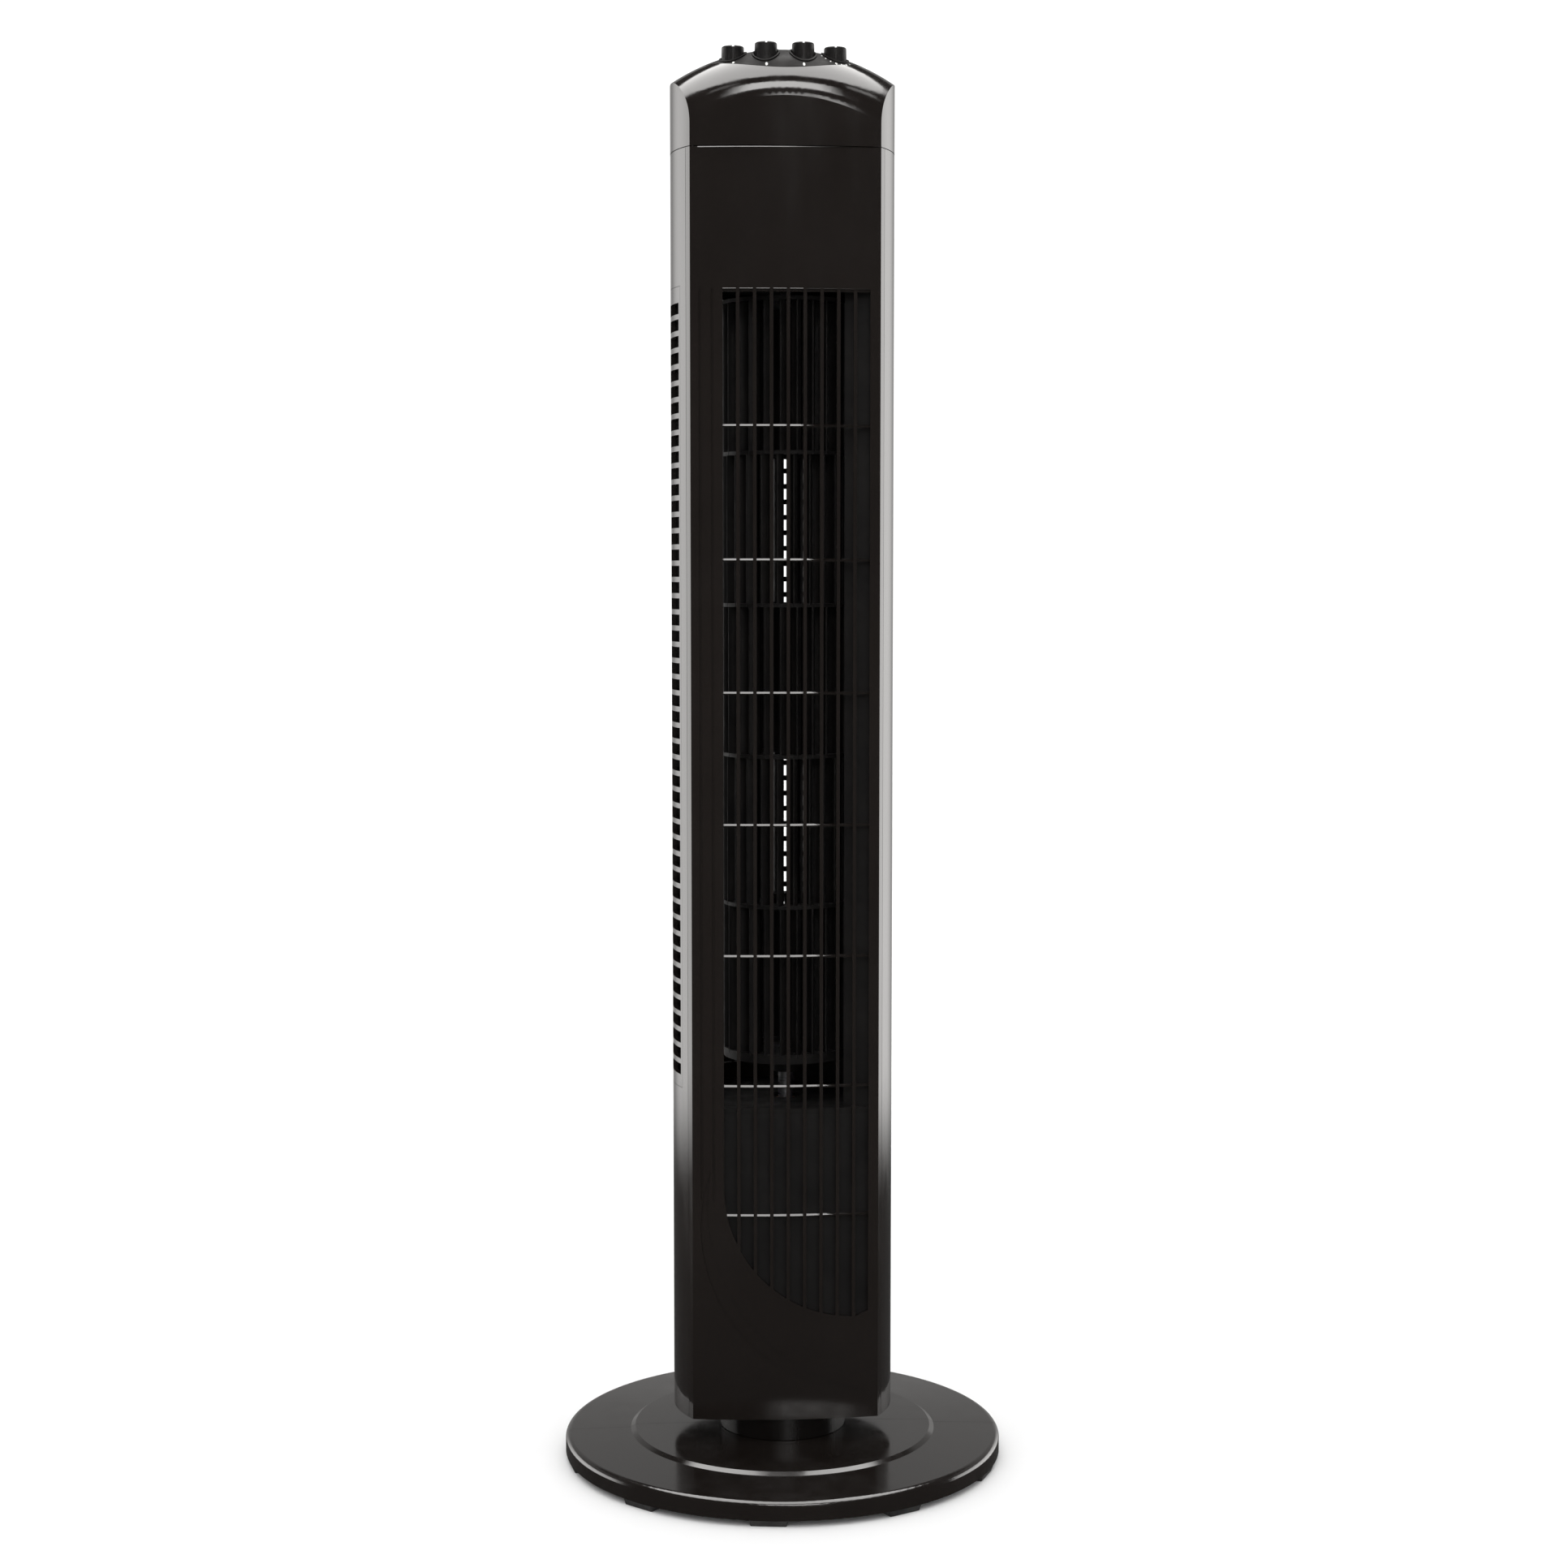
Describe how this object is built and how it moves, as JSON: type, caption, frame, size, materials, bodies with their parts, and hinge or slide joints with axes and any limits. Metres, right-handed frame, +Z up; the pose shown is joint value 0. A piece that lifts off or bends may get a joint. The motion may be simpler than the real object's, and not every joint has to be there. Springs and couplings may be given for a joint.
{
  "type": "tower fan",
  "caption": "Free-standing tower fan: slim black column with slotted front outlet, side and rear intake slots, domed cap with rotary knobs, on a round swivel base.",
  "frame": {"origin": "on the floor, under the middle of the round base and of the column's swivel axis", "axes": "+Z up along the column, the slotted front faces -Y, +X to the right seen from the front"},
  "size_m": [0.24, 0.24, 0.7633],
  "materials": {
    "housing_black": "black high-gloss moulded ABS",
    "base_black": "black gloss moulded ABS",
    "knob_black": "black satin moulded plastic",
    "foot_rubber": "soft black rubber",
    "inner_plastic": "black moulded ABS, unpolished",
    "impeller_plastic": "glass-filled black plastic",
    "slip_black": "black acetal",
    "slip_white": "acetal",
    "steel": "zinc-plated steel",
    "zinc": "galvanised pressed steel",
    "core_steel": "laminated electrical steel",
    "bronze": "sintered bronze",
    "winding": "enamelled copper wire",
    "part_white": "off-white moulded plastic"
  },
  "bodies": {
    "base": {"base_front": "base_black", "base_rear": "base_black", "base_feet": "foot_rubber", "base_hub": "inner_plastic", "yoke_plate": "inner_plastic", "retaining_ring": "steel", "retaining_screws": "steel", "base_screws": "steel"},
    "column": {"front_grille": "housing_black", "rear_housing": "housing_black", "rear_grille": "housing_black", "top_cap": "housing_black", "control_panel": "housing_black", "inlet_bush": "foot_rubber", "turntable": "inner_plastic", "motor_cover": "inner_plastic", "motor_plate": "inner_plastic", "bearing_plate": "inner_plastic", "scroll_wall": "inner_plastic", "tongue_wall": "inner_plastic", "switch_plate": "inner_plastic", "slip_ring": "slip_black", "top_bearing": "slip_white", "housing_screws": "steel", "panel_screws": "steel", "swing_motor_screws": "steel", "motor_screws": "steel", "swing_motor": "zinc", "motor_bracket_lower": "zinc", "motor_bracket_upper": "zinc", "motor_stator": "core_steel", "motor_bearing_lower": "bronze", "motor_bearing_upper": "bronze", "motor_coils": "winding", "capacitor": "part_white", "terminal_block": "part_white", "switch_oscillation": "part_white", "switch_speed": "part_white", "switch_mode": "part_white", "switch_timer": "part_white"},
    "impeller": {"impeller_segment_1": "impeller_plastic", "impeller_segment_2": "impeller_plastic", "impeller_segment_3": "impeller_plastic", "impeller_segment_4": "impeller_plastic", "impeller_segment_5": "impeller_plastic", "impeller_end": "impeller_plastic", "impeller_axle": "steel", "impeller_hub": "impeller_plastic", "motor_shaft": "steel", "motor_rotor": "core_steel"},
    "swing_crank": {"swing_crank": "slip_white"},
    "knob_oscillation": {"knob_oscillation": "knob_black", "shaft_oscillation": "steel"},
    "knob_speed": {"knob_speed": "knob_black", "shaft_speed": "steel"},
    "knob_mode": {"knob_mode": "knob_black", "shaft_mode": "steel"},
    "knob_timer": {"knob_timer": "knob_black", "shaft_timer": "steel"}
  },
  "joints": [
    {"name": "column_swing", "type": "hinge", "parent": "base", "child": "column", "pos_m": [0, 0, 0.02], "axis": [0, 0, 1], "range_deg": [-35, 35]},
    {"name": "impeller_spin", "type": "hinge", "parent": "column", "child": "impeller", "pos_m": [0.002, 0.006, 0.4], "axis": [0, 0, 1], "continuous": true},
    {"name": "crank_turn", "type": "hinge", "parent": "column", "child": "swing_crank", "pos_m": [0, 0.0135, 0.03], "axis": [0, 0, 1], "range_deg": [-90, 90]},
    {"name": "knob_oscillation_turn", "type": "hinge", "parent": "column", "child": "knob_oscillation", "pos_m": [-0.027, -0.017, 0.75], "axis": [0, 0, -1], "range_deg": [0, 45]},
    {"name": "knob_speed_turn", "type": "hinge", "parent": "column", "child": "knob_speed", "pos_m": [-0.0098, -0.022, 0.75], "axis": [0, 0, -1], "range_deg": [0, 135]},
    {"name": "knob_mode_turn", "type": "hinge", "parent": "column", "child": "knob_mode", "pos_m": [0.0098, -0.022, 0.75], "axis": [0, 0, -1], "range_deg": [0, 90]},
    {"name": "knob_timer_turn", "type": "hinge", "parent": "column", "child": "knob_timer", "pos_m": [0.027, -0.017, 0.75], "axis": [0, 0, -1], "range_deg": [0, 300]}
  ],
  "couplings": [
    {"joint": "crank_turn", "follows": "column_swing", "ratio": -2.571}
  ]
}
